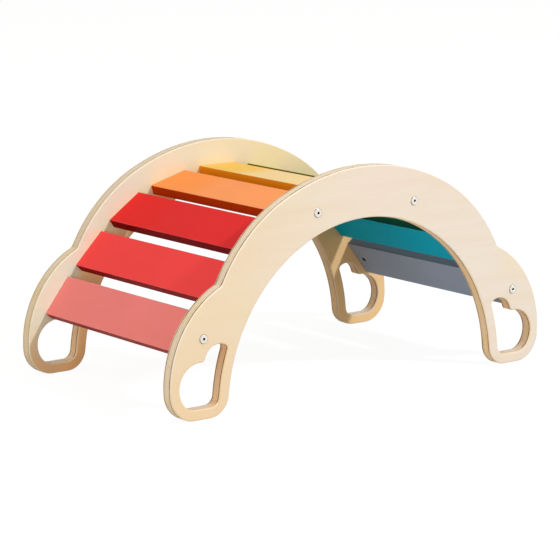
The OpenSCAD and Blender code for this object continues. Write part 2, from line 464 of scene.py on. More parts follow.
def circle(radius: float | Callable[[float], float], height: float, count: int) -> list[Vector]:
    """Steps round a circle about Z.

    Args:
        radius: Its radius, or what gives the radius at an angle.
        height: Its height.
        count: How many points it has.

    Returns:
        The points.
    """
    points = []
    for k in range(count):
        angle = math.tau * k / count
        reach = radius(angle) if callable(radius) else radius
        points.append(Vector((reach * math.cos(angle), reach * math.sin(angle), height)))
    return points


def turned(shape: Shape, profile: Sequence[tuple], count: int, place: Matrix | None = None) -> None:
    """Adds a closed turned body to a shape.

    Args:
        shape: The shape that takes it.
        profile: (radius, height) from one end to the other, where a radius may depend on the angle.
        count: How many points go round it.
        place: Where the body's own Z axis lies in the shape.
    """
    where = place or Matrix.Identity(4)
    rings = [shape.ring(where @ p for p in circle(radius, height, count)) for radius, height in profile]
    shape.bands(rings)
    shape.face(rings[0])
    shape.face(rings[-1])


def cut(piece: bpy.types.Object, cutter: Shape) -> None:
    """Takes a cutter's volume out of a piece that has the same frame.

    Args:
        piece: The piece.
        cutter: One or more closed bodies that don't touch each other.
    """
    tool = cutter.piece("cutter", [], piece.matrix_world)
    boolean = piece.modifiers.new("cut", "BOOLEAN")
    boolean.solver = "EXACT"
    boolean.operation = "DIFFERENCE"
    boolean.object = tool
    bpy.context.view_layer.update()
    done = bpy.data.meshes.new_from_object(piece.evaluated_get(bpy.context.evaluated_depsgraph_get()))
    piece.modifiers.remove(boolean)
    bpy.data.objects.remove(tool)
    clear_slivers(done)
    piece.data = done


def settle(piece: bpy.types.Object, slot: str, *nodes: str) -> bpy.types.Object:
    """Puts a finished piece on the arch's body in place of the nodes that it stands for.

    Args:
        piece: The piece, in its place.
        slot: The record's material slot; it is not used.
        *nodes: The nodes that it stands for.

    Returns:
        The same piece.
    """
    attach(piece, BODY)
    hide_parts(*nodes)
    LOG.info("%s: %d faces, for %s", piece.name, len(piece.data.polygons), ", ".join(nodes))
    return piece


# ---- Finishes ----

Socket = bpy.types.NodeSocket

# The way in which a layer of noise is moved, so that it differs from the other layers.
SHIFT_WAY = (1.0, 1.7, 2.3)


class Recipe:
    """Writes one material's nodes, with one short call for each."""

    def __init__(self, name: str) -> None:
        """Starts a material with an empty shader.

        Args:
            name: The material's name.
        """
        self.material = bpy.data.materials.new(name)
        self.material.use_nodes = True
        self.tree = self.material.node_tree
        self.shader = next(n for n in self.tree.nodes if n.type == "BSDF_PRINCIPLED")
        self.place = self.tree.nodes.new("ShaderNodeTexCoord").outputs["Object"]

    def least(self, values: Sequence[Socket]) -> Socket:
        """Finds the least of some values.

        Args:
            values: The values.

        Returns:
            The least one.
        """
        found = values[0]
        for value in values[1:]:
            found = self.sum("MINIMUM", found, value)
        return found

    def put(self, socket: Socket, value: "Socket | float | Sequence[float]") -> None:
        """Links a socket to another one, or sets its value.

        Args:
            socket: The socket.
            value: The other socket, or the value.
        """
        if isinstance(value, bpy.types.NodeSocket):
            self.tree.links.new(value, socket)
        else:
            socket.default_value = value

    def set(self, **values: "Socket | float | Sequence[float]") -> None:
        """Sets the shader's sockets.

        Args:
            **values: A value for each socket, whose name is in lower case with _ for a space.
        """
        names = {socket.name.lower().replace(" ", "_"): socket for socket in self.shader.inputs}
        for name, value in values.items():
            self.put(names[name], value)

    def sum(self, operation: str, first: "Socket | float", second: "Socket | float" = 0.0) -> Socket:
        """Adds a Math node.

        Args:
            operation: What the node does, such as ADD.
            first: Its first value.
            second: Its second value, if it takes one.

        Returns:
            The result.
        """
        node = self.tree.nodes.new("ShaderNodeMath")
        node.operation = operation
        self.put(node.inputs[0], first)
        self.put(node.inputs[1], second)
        return node.outputs[0]

    def axes(self) -> tuple[Socket, Socket, Socket]:
        """Takes the place apart.

        Returns:
            Its X, Y and Z.
        """
        node = self.tree.nodes.new("ShaderNodeSeparateXYZ")
        self.put(node.inputs[0], self.place)
        return node.outputs[0], node.outputs[1], node.outputs[2]

    def distance(self, first: Socket, second: Socket) -> Socket:
        """Returns how far a place with these two coordinates lies from where both are 0."""
        squares = [self.sum("MULTIPLY", value, value) for value in (first, second)]
        return self.sum("SQRT", self.sum("ADD", *squares))

    def noise(
        self, stretch: Sequence[float], detail: float = 3.0, roughness: float = 0.5, shift: float = 0.0
    ) -> Socket:
        """Adds noise over the piece.

        Args:
            stretch: How many waves the noise has in a metre along X, Y and Z.
            detail: How many finer layers it has.
            roughness: How strong the finer layers are.
            shift: Moves the noise, so that two layers differ.

        Returns:
            The noise, from 0 to 1.
        """
        mapping = self.tree.nodes.new("ShaderNodeMapping")
        self.put(mapping.inputs["Vector"], self.place)
        mapping.inputs["Scale"].default_value = stretch
        mapping.inputs["Location"].default_value = tuple(shift * part for part in SHIFT_WAY)
        node = self.tree.nodes.new("ShaderNodeTexNoise")
        self.put(node.inputs["Vector"], mapping.outputs[0])
        node.inputs["Scale"].default_value = 1.0
        node.inputs["Detail"].default_value = detail
        node.inputs["Roughness"].default_value = roughness
        return node.outputs["Fac"]

    def span(
        self, value: Socket, low: float, high: float, to_low: float = 0.0, to_high: float = 1.0
    ) -> Socket:
        """Maps a range smoothly to another.

        Args:
            value: What is mapped.
            low: Where the range starts.
            high: Where it ends.
            to_low: What its start becomes.
            to_high: What its end becomes.

        Returns:
            The mapped value.
        """
        node = self.tree.nodes.new("ShaderNodeMapRange")
        node.interpolation_type = "SMOOTHSTEP"
        self.put(node.inputs["Value"], value)
        for socket, number in zip(list(node.inputs)[1:5], (low, high, to_low, to_high)):
            socket.default_value = number
        return node.outputs[0]

    def ramp(self, value: Socket, stops: Sequence[tuple[float, Colour]]) -> Socket:
        """Turns a value into a colour.

        Args:
            value: The value, from 0 to 1.
            stops: Where each colour lies, in order.

        Returns:
            The colour.
        """
        node = self.tree.nodes.new("ShaderNodeValToRGB")
        elements = node.color_ramp.elements
        for at, colour in stops[1:-1]:
            elements.new(at).color = colour
        elements[0].position, elements[0].color = stops[0]
        elements[len(elements) - 1].position, elements[len(elements) - 1].color = stops[-1]
        self.put(node.inputs[0], value)
        return node.outputs[0]

    def mix(
        self,
        share: "Socket | float",
        first: "Socket | Colour",
        second: "Socket | Colour",
        blend: str = "MIX",
    ) -> Socket:
        """Mixes two colours.

        Args:
            share: How much of the second colour there is.
            first: The first colour.
            second: The second colour.
            blend: How they mix, such as MULTIPLY.

        Returns:
            The mixed colour.
        """
        node = self.tree.nodes.new("ShaderNodeMix")
        node.data_type = "RGBA"
        node.blend_type = blend
        self.put(node.inputs["Factor"], share)
        self.put(node.inputs[6], first)
        self.put(node.inputs[7], second)
        return node.outputs[2]

    def lay(
        self,
        over: Colour,
        under: "Socket | Colour",
        value: Socket,
        low: float,
        high: float,
        most: float = 1.0,
    ) -> Socket:
        """Lays a colour over another one where a value is high.

        Args:
            over: The colour that is laid on.
            under: What lies under it.
            value: The value, such as noise.
            low: The value at which the colour starts to show.
            high: The value from which it shows most.
            most: How much of it shows there.

        Returns:
            The new colour.
        """
        return self.mix(self.span(value, low, high, 0.0, most), under, over)

    def bump(
        self, height: Socket, depth: float, strength: float = 1.0, under: Socket | None = None
    ) -> Socket:
        """Adds relief.

        Args:
            height: The height of the surface, from 0 to 1.
            depth: How far a height of 1 stands out, in metres.
            strength: How much of it shows.
            under: Other relief that this lies on.

        Returns:
            The surface's direction.
        """
        node = self.tree.nodes.new("ShaderNodeBump")
        node.inputs["Strength"].default_value = strength
        node.inputs["Distance"].default_value = depth
        self.put(node.inputs["Height"], height)
        if under is not None:
            self.put(node.inputs["Normal"], under)
        return node.outputs[0]


class BoardSpot(NamedTuple):
    """A place on a board.

    It is given by how far it lies along the arch, up from the floor, outward from the board's middle
    layer, down from the nearer face, and away from the middle of the open arch.
    """

    along: Socket
    up: Socket
    outward: Socket
    depth: Socket
    reach: Socket


@dataclass(frozen=True)
class BirchPlywood:
    """Clear-lacquered birch plywood: a pale face veneer, and crossed plies wherever an edge is cut.

    Honey and amber warm the veneer. This is partly the wood's own tone and partly painted warm shade,
    where the slats' shade falls on the rear board. Gold changes the tone of the plies in patches. The
    plies also carry painted light: the soles of the handle holes are paler, the rim is lighter high
    up, and the wall of the open arch is warmer and, on the boards, lighter. A pair of heights,
    margins or places gives where such a change starts and where it is complete.
    """

    name: str
    face: Colour = shade(238, 227, 212)
    streak: Colour = shade(232, 214, 188)
    fleck: Colour = shade(214, 188, 154)
    peach: Colour = shade(240, 218, 200)
    butter: Colour = shade(240, 224, 192)
    honey: Colour = shade(240, 210, 151)
    high_honey: Colour = shade(240, 206, 144)
    amber: Colour = shade(240, 206, 156)
    left_honey: float = 0.5
    right_honey: float = 0.0
    honey_places: tuple[float, float] = (-400 * MM, 60 * MM)
    honey_heights: tuple[float, float] = (180 * MM, 300 * MM)
    outer_honey: float = 1.0
    arch_honey: float = 0.0
    arch_honey_margins: tuple[float, float] = (40 * MM, 80 * MM)
    honey_strength: float = 0.85
    low_amber: float = 0.55
    left_amber: float = 0.85
    amber_height: float = 150 * MM
    amber_places: tuple[float, float] = (-320 * MM, -120 * MM)
    # Painted light: the soles of the handle holes face up to the light and are painted paler.
    low_bleach: float = 0.0
    bleach_heights: tuple[float, float] = (20 * MM, 28 * MM)
    # Painted light: the plies are made lighter or darker by height, between these heights.
    low_rim: float = 1.0
    high_rim: float = 1.0
    rim_heights: tuple[float, float] = (200 * MM, 290 * MM)
    sanded: Colour = shade(252, 238, 216)
    long_ply: Colour = shade(244, 229, 201)
    cross_ply: Colour = shade(234, 211, 178)
    golden: Colour = (1.0, 0.97, 0.80, 1.0)
    gold: float = 0.8
    high_gold: float = 0.25
    gold_heights: tuple[float, float] = (170 * MM, 320 * MM)
    heart: float = 0.9
    first_cross_ply: Colour = shade(168, 132, 92)
    dark_heart: Colour = shade(96, 58, 36)
    glue: Colour = shade(160, 122, 84)
    # Painted light: near the open arch the plies are made warmer, and on the boards lighter too.
    arch_side: Colour = (1.0, 0.94, 0.84, 1.0)
    arch_side_margins: tuple[float, float] = (20 * MM, 60 * MM)
    cloud: CloudOutline = CloudOutline()
    middle: float = BOARD_OUTER - BOARD_THICKNESS / 2
    half_thickness: float = BOARD_THICKNESS / 2
    veneer: float = 2.7 * MM
    first_ply: float = 1.9 * MM
    ply: float = 1.5 * MM
    ply_waver: float = 0.12 * MM
    blur: float = 0.10 * MM

    def edge_stops(self) -> list[tuple[float, Colour]]:
        """Lays out the plies from a face to the core.

        Returns:
            Where each colour lies, as a share of half the thickness.
        """
        stops: list[tuple[float, Colour]] = [(0.0, self.sanded)]
        depth = self.veneer
        crossed = True
        stops.append(((depth - 2 * self.blur) / self.half_thickness, self.face))
        while depth < self.half_thickness:
            first = depth == self.veneer
            colour = self.first_cross_ply if first else self.cross_ply if crossed else self.long_ply
            stops.append(((depth + self.blur) / self.half_thickness, colour))
            depth += self.first_ply if first else self.ply
            crossed = not crossed
            if depth < self.half_thickness:
                stops.append(((depth - 2 * self.blur) / self.half_thickness, colour))
                stops.append(((depth - 0.5 * self.blur) / self.half_thickness, self.glue))
        stops.append((1.0, colour))
        return stops

    def from_arch(self, margins: Iterable[float]) -> list[float]:
        """Returns how far these margins round the open arch lie from its middle."""
        return [self.cloud.arch_radius + margin for margin in margins]

    def sawn(self, recipe: Recipe, spot: BoardSpot) -> Socket:
        """Colours a sawn edge, ply by ply.

        Args:
            recipe: The material.
            spot: The place on the board.

        Returns:
            The colour.
        """
        slow = recipe.noise((22, 22, 22), detail=2.0)
        waver = recipe.span(slow, 0.0, 1.0, -self.ply_waver, self.ply_waver)
        ply_depth = recipe.sum("DIVIDE", recipe.sum("ADD", spot.depth, waver), self.half_thickness)
        plies = recipe.ramp(ply_depth, self.edge_stops())
        fibres = recipe.noise((45, 2600, 45), detail=3.0, roughness=0.6)
        plies = recipe.lay(self.glue, plies, fibres, low=0.35, high=0.75, most=0.22)
        pores = recipe.noise((900, 1800, 900), detail=2.0, roughness=0.6, shift=3.0)
        plies = recipe.lay(self.glue, plies, pores, low=0.58, high=0.78, most=0.30)
        knots = recipe.noise((150, 420, 150), detail=2.0, roughness=0.5, shift=21.0)
        plies = recipe.lay(self.glue, plies, knots, low=0.66, high=0.76, most=0.55)
        plies = recipe.mix(self.heartwood(recipe, spot), plies, self.dark_heart)
        patches = recipe.noise((26, 26, 26), detail=2.0, roughness=0.5, shift=31.0)
        gold = recipe.span(spot.up, *self.gold_heights, self.gold, self.high_gold)
        gold = recipe.sum("MULTIPLY", gold, recipe.span(patches, 0.42, 0.62))
        plies = recipe.mix(gold, plies, self.golden, "MULTIPLY")
        # Painted light: low down, the plies are painted toward the sanded colour, as light falling on the
        # soles of the holes.
        sole_light = recipe.span(spot.up, *self.bleach_heights, self.low_bleach, 0.0)
        plies = recipe.mix(sole_light, plies, self.sanded)
        # Painted light: the rim is made lighter high up than low down.
        rim = recipe.span(spot.up, *self.rim_heights, self.low_rim, self.high_rim)
        plies = recipe.mix(1.0, plies, rim, "MULTIPLY")
        # Painted light: the wall of the open arch is painted warmer and lighter, standing in for light on
        # it.
        near, far = self.from_arch(self.arch_side_margins)
        return recipe.mix(recipe.span(spot.reach, near, far, 1.0, 0.0), plies, self.arch_side, "MULTIPLY")

    def heartwood(self, recipe: Recipe, spot: BoardSpot) -> Socket:
        """Finds the dark heartwood, which shows here and there in the first crossed ply.

        Args:
            recipe: The material.
            spot: The place on the board.

        Returns:
            How much of it shows.
        """
        blend = 0.3 * MM
        below = recipe.span(spot.depth, self.veneer - blend, self.veneer + blend)
        under_first = self.veneer + self.first_ply
        above = recipe.span(spot.depth, under_first, under_first + 2 * blend, 1.0, 0.0)
        stretches = recipe.noise((15, 4, 15), detail=3.0, roughness=0.6, shift=17.0)
        heart = recipe.span(stretches, 0.46, 0.62, 0.0, self.heart)
        return recipe.sum("MULTIPLY", heart, recipe.sum("MULTIPLY", below, above))

    def toned(self, recipe: Recipe, spot: BoardSpot, veneer: Socket) -> Socket:
        """Warms the veneer with honey and amber, partly wood tone and partly painted warm shade.

        Args:
            recipe: The material.
            spot: The place on the board.
            veneer: The veneer's colour so far.

        Returns:
            The warmer colour.
        """
        honey = recipe.span(spot.along, *self.honey_places, self.left_honey, self.right_honey)
        # Painted warm shade: a honey band round the open arch, where the slats' shade falls on the rear
        # board.
        near, far = self.from_arch(self.arch_honey_margins)
        arch_shade = recipe.span(spot.reach, near, far, self.arch_honey, 0.0)
        honey = recipe.sum("MULTIPLY", recipe.sum("MAXIMUM", honey, arch_shade), self.honey_strength)
        side = recipe.span(spot.outward, -2 * MM, 2 * MM, 1.0, self.outer_honey)
        honey = recipe.sum("MULTIPLY", honey, side)
        tone = recipe.mix(recipe.span(spot.up, *self.honey_heights), self.honey, self.high_honey)
        veneer = recipe.mix(honey, veneer, tone)
        # Amber low on the left: wood tone on the front board, painted warm shade on the rear board's left
        # foot.
        low = recipe.span(spot.up, 0.0, self.amber_height, self.low_amber, 0.0)
        left = recipe.span(spot.along, *self.amber_places, self.left_amber, 0.0)
        low = recipe.sum("MULTIPLY", recipe.sum("MULTIPLY", low, left), side)
        return recipe.mix(low, veneer, self.amber)

    def make(self) -> bpy.types.Material:
        """Writes the material.

        Returns:
            The material.
        """
        recipe = Recipe(self.name)
        along, across, up = recipe.axes()
        outward = recipe.sum("SUBTRACT", recipe.sum("ABSOLUTE", across), self.middle)
        depth = recipe.sum("SUBTRACT", self.half_thickness, recipe.sum("ABSOLUTE", outward))
        reach = recipe.distance(along, recipe.sum("SUBTRACT", up, self.cloud.arch_centre.y))
        spot = BoardSpot(along, up, outward, depth, reach)
        streaks = recipe.noise((3.2, 3.2, 46), detail=4.0, roughness=0.55)
        veneer = recipe.lay(self.streak, self.face, streaks, low=0.35, high=0.75, most=0.40)
        flecks = recipe.noise((34, 34, 900), detail=2.0, roughness=0.5, shift=5.0)
        veneer = recipe.lay(self.fleck, veneer, flecks, low=0.60, high=0.80, most=0.30)
        warm = recipe.noise((4.5, 4.5, 7.5), detail=2.0, roughness=0.5, shift=9.0)
        veneer = recipe.lay(self.peach, veneer, warm, low=0.48, high=0.72, most=0.45)
        yellow = recipe.noise((6, 6, 9), detail=2.0, roughness=0.5, shift=14.0)
        veneer = recipe.lay(self.butter, veneer, yellow, low=0.50, high=0.75, most=0.45)
        veneer = self.toned(recipe, spot, veneer)
        on_face = recipe.span(depth, 0.05 * MM, 0.9 * MM, 1.0, 0.0)
        recipe.set(base_color=recipe.mix(on_face, self.sawn(recipe, spot), veneer))
        pores = recipe.noise((60, 1400, 1400), detail=3.0, roughness=0.6, shift=2.0)
        grain = recipe.bump(pores, depth=0.12 * MM, strength=0.35)
        recipe.set(normal=recipe.bump(streaks, depth=0.25 * MM, strength=0.25, under=grain))
        recipe.set(roughness=recipe.span(flecks, 0.2, 0.8, 0.48, 0.62))
        recipe.set(specular_ior_level=0.25)
        return recipe.material


@dataclass(frozen=True)
class SlatPaint:
    """Satin paint on a birch slat, with grain, rubbed edges and bare wood in the holes.

    It also carries painted light and shade: a painted highlight on the rounded long edges, painted
    shade on the darker long sides over a deeper paint tone, a painted shade line round each end where
    the slat meets a board, and painted shade that makes the bare wood in the holes dark.

    The colour goes over into the rear colour, painted bounce light from the rear board's warm face,
    between two places along the slat.
    """

    name: str
    colour: Colour
    rear_colour: Colour
    side_colour: Colour
    half_width: float
    half_length: float
    half_thickness: float
    # Bare wood in the holes, painted darker than the birch as painted shade in the bores.
    bore: Colour = shade(74, 50, 34)
    rear_from: float = 50 * MM
    rear_to: float = 130 * MM
    edge_paleness: float = 0.35
    wear_and_highlight: float = 0.45

    def make(self) -> bpy.types.Material:
        """Writes the material.

        Returns:
            The material.
        """
        recipe = Recipe(self.name)
        wide, long, thick = recipe.axes()
        from_side = recipe.sum("SUBTRACT", self.half_width, recipe.sum("ABSOLUTE", wide))
        from_top = recipe.sum("SUBTRACT", self.half_thickness, recipe.sum("ABSOLUTE", thick))
        from_end = recipe.sum("SUBTRACT", self.half_length, recipe.sum("ABSOLUTE", long))
        from_edge = recipe.sum("MAXIMUM", from_side, from_top)
        # Painted bounce light: the paint turns warmer toward the rear board.
        colour = recipe.lay(self.rear_colour, self.colour, long, self.rear_from, self.rear_to)
        cloud = recipe.noise((9, 5, 9), detail=3.0, roughness=0.6)
        colour = recipe.mix(recipe.span(cloud, 0.3, 0.7, 0.05, 0.0), colour, BLACK)
        grain = recipe.noise((420, 7, 420), detail=4.0, roughness=0.6, shift=3.0)
        colour = recipe.lay(BLACK, colour, grain, low=0.55, high=0.8, most=0.03)
        # Rubbed paint with a painted highlight: the rounded long edges are paler, in patches.
        rub = recipe.noise((260, 40, 260), detail=3.0, roughness=0.6, shift=7.0)
        edge = recipe.span(from_edge, 0.2 * MM, 2.2 * MM, 1.0, 0.0)
        worn_and_highlit = recipe.sum("MULTIPLY", edge, recipe.span(rub, 0.35, 0.75, 0.25, 0.8))
        pale = tuple((1 - self.edge_paleness) * part + self.edge_paleness for part in self.colour[:3]) + (1.0,)
        colour = recipe.mix(recipe.sum("MULTIPLY", worn_and_highlit, self.wear_and_highlight), colour, pale)
        # The long sides are darker: a deeper paint tone with painted shade on it.
        on_side = recipe.span(from_side, 0.1 * MM, 0.9 * MM, 1.0, 0.0)
        colour = recipe.mix(on_side, colour, self.side_colour)
        # Painted shade: a dark line round each end, where the slat meets a board.
        end_shade_line = recipe.span(from_end, 0.6 * MM, 1.6 * MM, 0.7, 0.0)
        colour = recipe.mix(end_shade_line, colour, self.side_colour)
        # Bare wood in the holes, painted dark as painted shade in the bores.
        depth = recipe.least([from_side, from_top, from_end])
        recipe.set(base_color=recipe.lay(self.bore, colour, depth, low=0.4 * MM, high=0.9 * MM))
        recipe.set(roughness=recipe.span(cloud, 0.2, 0.8, 0.44, 0.54))
        peel = recipe.noise((520, 520, 520), detail=2.0, roughness=0.5)
        peel = recipe.bump(peel, depth=0.06 * MM, strength=0.25)
        recipe.set(normal=recipe.bump(grain, depth=0.10 * MM, strength=0.30, under=peel))
        recipe.set(specular_ior_level=0.02)
        return recipe.material


@dataclass(frozen=True)
class TurnedSteel:
    """Plated steel with the fine rings that a lathe leaves about the piece's own Z axis.

    A bolt's head carries painted shade and a painted dark reflection over the skirt at its rim, and
    painted shade that makes it black inside its socket.
    """

    name: str
    colour: Colour
    dark: Colour
    roughness: float
    socket_shade: Colour = shade(6, 5, 4)
    socket_radius: float = 0.0
    socket_top: float = 0.0
    skirt: float = 0.0
    skirt_radius: float = 0.0
    skirt_shade: float = 0.7
    ring_rate: float = 5200

    def make(self) -> bpy.types.Material:
        """Writes the material.

        Returns:
            The material.
        """
        recipe = Recipe(self.name)
        x, y, z = recipe.axes()
        reach = recipe.distance(x, y)
        rings = recipe.sum("SINE", recipe.sum("MULTIPLY", recipe.sum("ADD", reach, z), self.ring_rate))
        stain = recipe.noise((450, 450, 450), detail=3.0, roughness=0.6)
        colour = recipe.lay(self.dark, self.colour, stain, low=0.5, high=0.85, most=0.5)
        # Painted shade and a painted dark reflection over the head's rounded rim.
        if self.skirt:
            round_it = recipe.span(reach, self.skirt_radius - self.skirt, self.skirt_radius)
            colour = recipe.mix(recipe.sum("MULTIPLY", round_it, self.skirt_shade), colour, self.dark)
        # Painted shade: the socket is black inside.
        if self.socket_radius:
            within = recipe.span(reach, self.socket_radius, self.socket_radius + 0.2 * MM, 1.0, 0.0)
            below = recipe.span(z, self.socket_top - 0.4 * MM, self.socket_top, 1.0, 0.0)
            colour = recipe.mix(recipe.sum("MULTIPLY", within, below), colour, self.socket_shade)
        recipe.set(base_color=colour)
        recipe.set(metallic=1.0)
        recipe.set(roughness=recipe.span(stain, 0.2, 0.8, self.roughness - 0.05, self.roughness + 0.08))
        recipe.set(normal=recipe.bump(rings, depth=0.01 * MM, strength=0.25))
        return recipe.material


@dataclass(frozen=True)
class BeechDowelWood:
    """Bare beech, pinkish with short dark flecks along the dowel."""

    name: str
    colour: Colour = shade(216, 180, 134)
    fleck: Colour = shade(166, 118, 78)

    def make(self) -> bpy.types.Material:
        """Writes the material.

        Returns:
            The material.
        """
        recipe = Recipe(self.name)
        tone = recipe.noise((90, 12, 90), detail=2.0, roughness=0.5, shift=4.0)
        colour = recipe.lay(self.fleck, self.colour, tone, low=0.3, high=0.7, most=0.35)
        flecks = recipe.noise((1500, 160, 1500), detail=3.0, roughness=0.6)
        recipe.set(base_color=recipe.lay(self.fleck, colour, flecks, low=0.55, high=0.72, most=0.6))
        recipe.set(roughness=0.7)
        recipe.set(normal=recipe.bump(flecks, depth=0.08 * MM, strength=0.4))
        return recipe.material


# The front board's rim is painted lighter high up and its arch wall lighter and warmer, as painted light.
FRONT_PLYWOOD = BirchPlywood(
    "front_birch_plywood", low_rim=1.01, high_rim=1.06, arch_side=(1.18, 1.11, 1.01, 1.0)
)
# The rear board's honey round the arch and its amber low on the left are painted warm shade where the
# slats' shade falls.
REAR_PLYWOOD = BirchPlywood(
    "rear_birch_plywood",
    face=shade(230, 229, 207),
    peach=shade(231, 224, 197),
    honey=shade(255, 209, 144),
    high_honey=shade(246, 217, 168),
    amber=shade(240, 188, 127),
    first_cross_ply=shade(204, 170, 132),
    heart=0.3,
    sanded=shade(244, 231, 208),
    long_ply=shade(236, 221, 194),
    cross_ply=shade(226, 203, 172),
    arch_side=(1.2, 1.12, 1.0, 1.0),
    right_honey=1.0,
    left_honey=0.0,
    honey_places=(-240 * MM, 260 * MM),
    outer_honey=0.4,
    low_amber=1.0,
    arch_honey=0.95,
)
PLYWOOD_IN_HOLES = BirchPlywood(
    "birch_plywood_in_hole",
    sanded=shade(238, 221, 196),
    face=shade(246, 222, 186),
    heart=0.5,
    long_ply=shade(248, 222, 190),
    cross_ply=shade(240, 206, 166),
    first_cross_ply=shade(104, 70, 42),
    # The soles of the handle holes are painted paler, as painted light from above.
    low_bleach=0.8,
)
BOLT_STEEL = TurnedSteel(
    "bolt_steel",
    colour=shade(236, 232, 224),
    dark=shade(128, 112, 92),
    roughness=0.22,
    socket_radius=2.95 * MM,
    socket_top=2.35 * MM,
    skirt=1.6 * MM,
    skirt_radius=8.1 * MM,
)
NUT_STEEL = TurnedSteel("nut_steel", colour=shade(70, 70, 72), dark=shade(40, 38, 36), roughness=0.42)
BEECH = BeechDowelWood("beech_dowel")


# ---- Where the slats lie ----


class SlatName(Enum):
    """The slats from the lowest on the left, over the top, to the lowest on the right.

    Each has a word for its name, its paint and the darker colour of its two long sides, a deeper paint
    tone with painted shade on it.
    """

    CORAL = ("coral", shade(242, 134, 126), shade(152, 48, 42))
    LIGHT_RED = ("light_red", shade(246, 74, 72), shade(148, 8, 4))
    RED = ("red", shade(228, 51, 51), shade(126, 0, 0))
    ORANGE = ("orange", shade(255, 160, 96), shade(182, 50, 0))
    YELLOW = ("yellow", shade(249, 217, 155), shade(222, 130, 16))
    LIME = ("lime", shade(185, 191, 58), shade(92, 80, 0))
    GREEN = ("green", shade(0, 128, 74), shade(0, 84, 44))
    # The teal slat's sides are painted green, a painted reflection of the green slat beside them.
    TEAL = ("teal", shade(0, 189, 223), shade(0, 78, 58))
    GREY = ("grey", shade(163, 180, 204), shade(90, 108, 120))

    @property
    def word(self) -> str:
        """The slat's name in the names of its pieces."""
        return self.value[0]

    @property
    def paint(self) -> Colour:
        """The slat's paint."""
        return self.value[1]

    @property
    def side_paint(self) -> Colour:
        """The darker colour of the long sides: a deeper paint tone with painted shade on it."""
        return self.value[2]


# The slats whose paint turns warmer toward the rear board, as painted bounce light from its warm face.
REAR_BOUNCE_PAINT = {
    SlatName.RED: shade(229, 47, 44),
    SlatName.ORANGE: shade(255, 153, 79),
    SlatName.YELLOW: shade(249, 201, 98),
}


@dataclass(frozen=True)
class SlatRow:
    """The places of the nine slats round the open arch."""

    cloud: CloudOutline
    offsets: tuple[float, ...] = (36.5 * MM, 39 * MM, 47 * MM, 54 * MM, 79 * MM)
    slopes: tuple[float, ...] = (0, 16, 35, 45.5, 52)
    shares: tuple[float, ...] = (18.9, 17.7, 17, 16)
    lowest_height: float = 144 * MM

    def place(self, name: SlatName) -> Matrix:
        """Finds a slat's own frame: X across its width, Y along it and Z out of its top face.

        Args:
            name: Which slat.

        Returns:
            The frame, with the slat's middle at its origin.
        """
        order = list(SlatName).index(name) - list(SlatName).index(SlatName.YELLOW)
        steps = abs(order)
        side = (order > 0) - (order < 0)
        arch = self.cloud.arch_centre
        lowest_reach = self.cloud.arch_radius + self.offsets[-1]
        lowest = math.acos((self.lowest_height - arch.y) / lowest_reach)
        angle = side * lowest * sum(self.shares[:steps]) / sum(self.shares)
        reach = self.cloud.arch_radius + self.offsets[steps]
        x = arch.x + reach * math.sin(angle)
        z = arch.y + reach * math.cos(angle)
        slope = math.radians(side * self.slopes[steps])
        return Matrix.Translation((x, 0, z)) @ Matrix.Rotation(slope, 4, "Y")


def at_end(end: End, length: float) -> Matrix:
    """Returns the frame at a slat's end, inside the slat's own, with Z out of the end."""
    return Matrix.Rotation(math.radians(-90 * end.sign), 4, "X") @ Matrix.Translation((0, 0, length / 2))


# ---- The pieces ----


@dataclass
class Fastenings:
    """The holes that the fastenings need, and where they lie at a slat's end."""

    dowel_diameter: float = 8 * MM
    dowel_in_slat: float = 18 * MM
    dowel_in_board: float = 14 * MM
    dowel_spacing: float = 52 * MM
    dowel_clearance: float = 0.1 * MM
    bolt_diameter: float = 6 * MM
    bolt_clearance: float = 0.6 * MM
    thread_gap: float = 0.05 * MM
    nut_diameter: float = 10 * MM
    nut_length: float = 12 * MM
    nut_clearance: float = 0.3 * MM
    nut_setback: float = 22 * MM
    past_nut: float = 4 * MM
    blind_clearance: float = 0.5 * MM

    @property
    def dowel_hole_radius(self) -> float:
        """The radius of a dowel's hole."""
        return (self.dowel_diameter + self.dowel_clearance) / 2

    @property
    def bolt_hole_radius(self) -> float:
        """The radius of a bolt's hole."""
        return (self.bolt_diameter + self.bolt_clearance) / 2

    @property
    def nut_hole_radius(self) -> float:
        """The radius of a cross nut's hole."""
        return (self.nut_diameter + self.nut_clearance) / 2


# The slats that bolts draw up.
BOLTED = (SlatName.CORAL, SlatName.ORANGE, SlatName.LIME, SlatName.GREY)


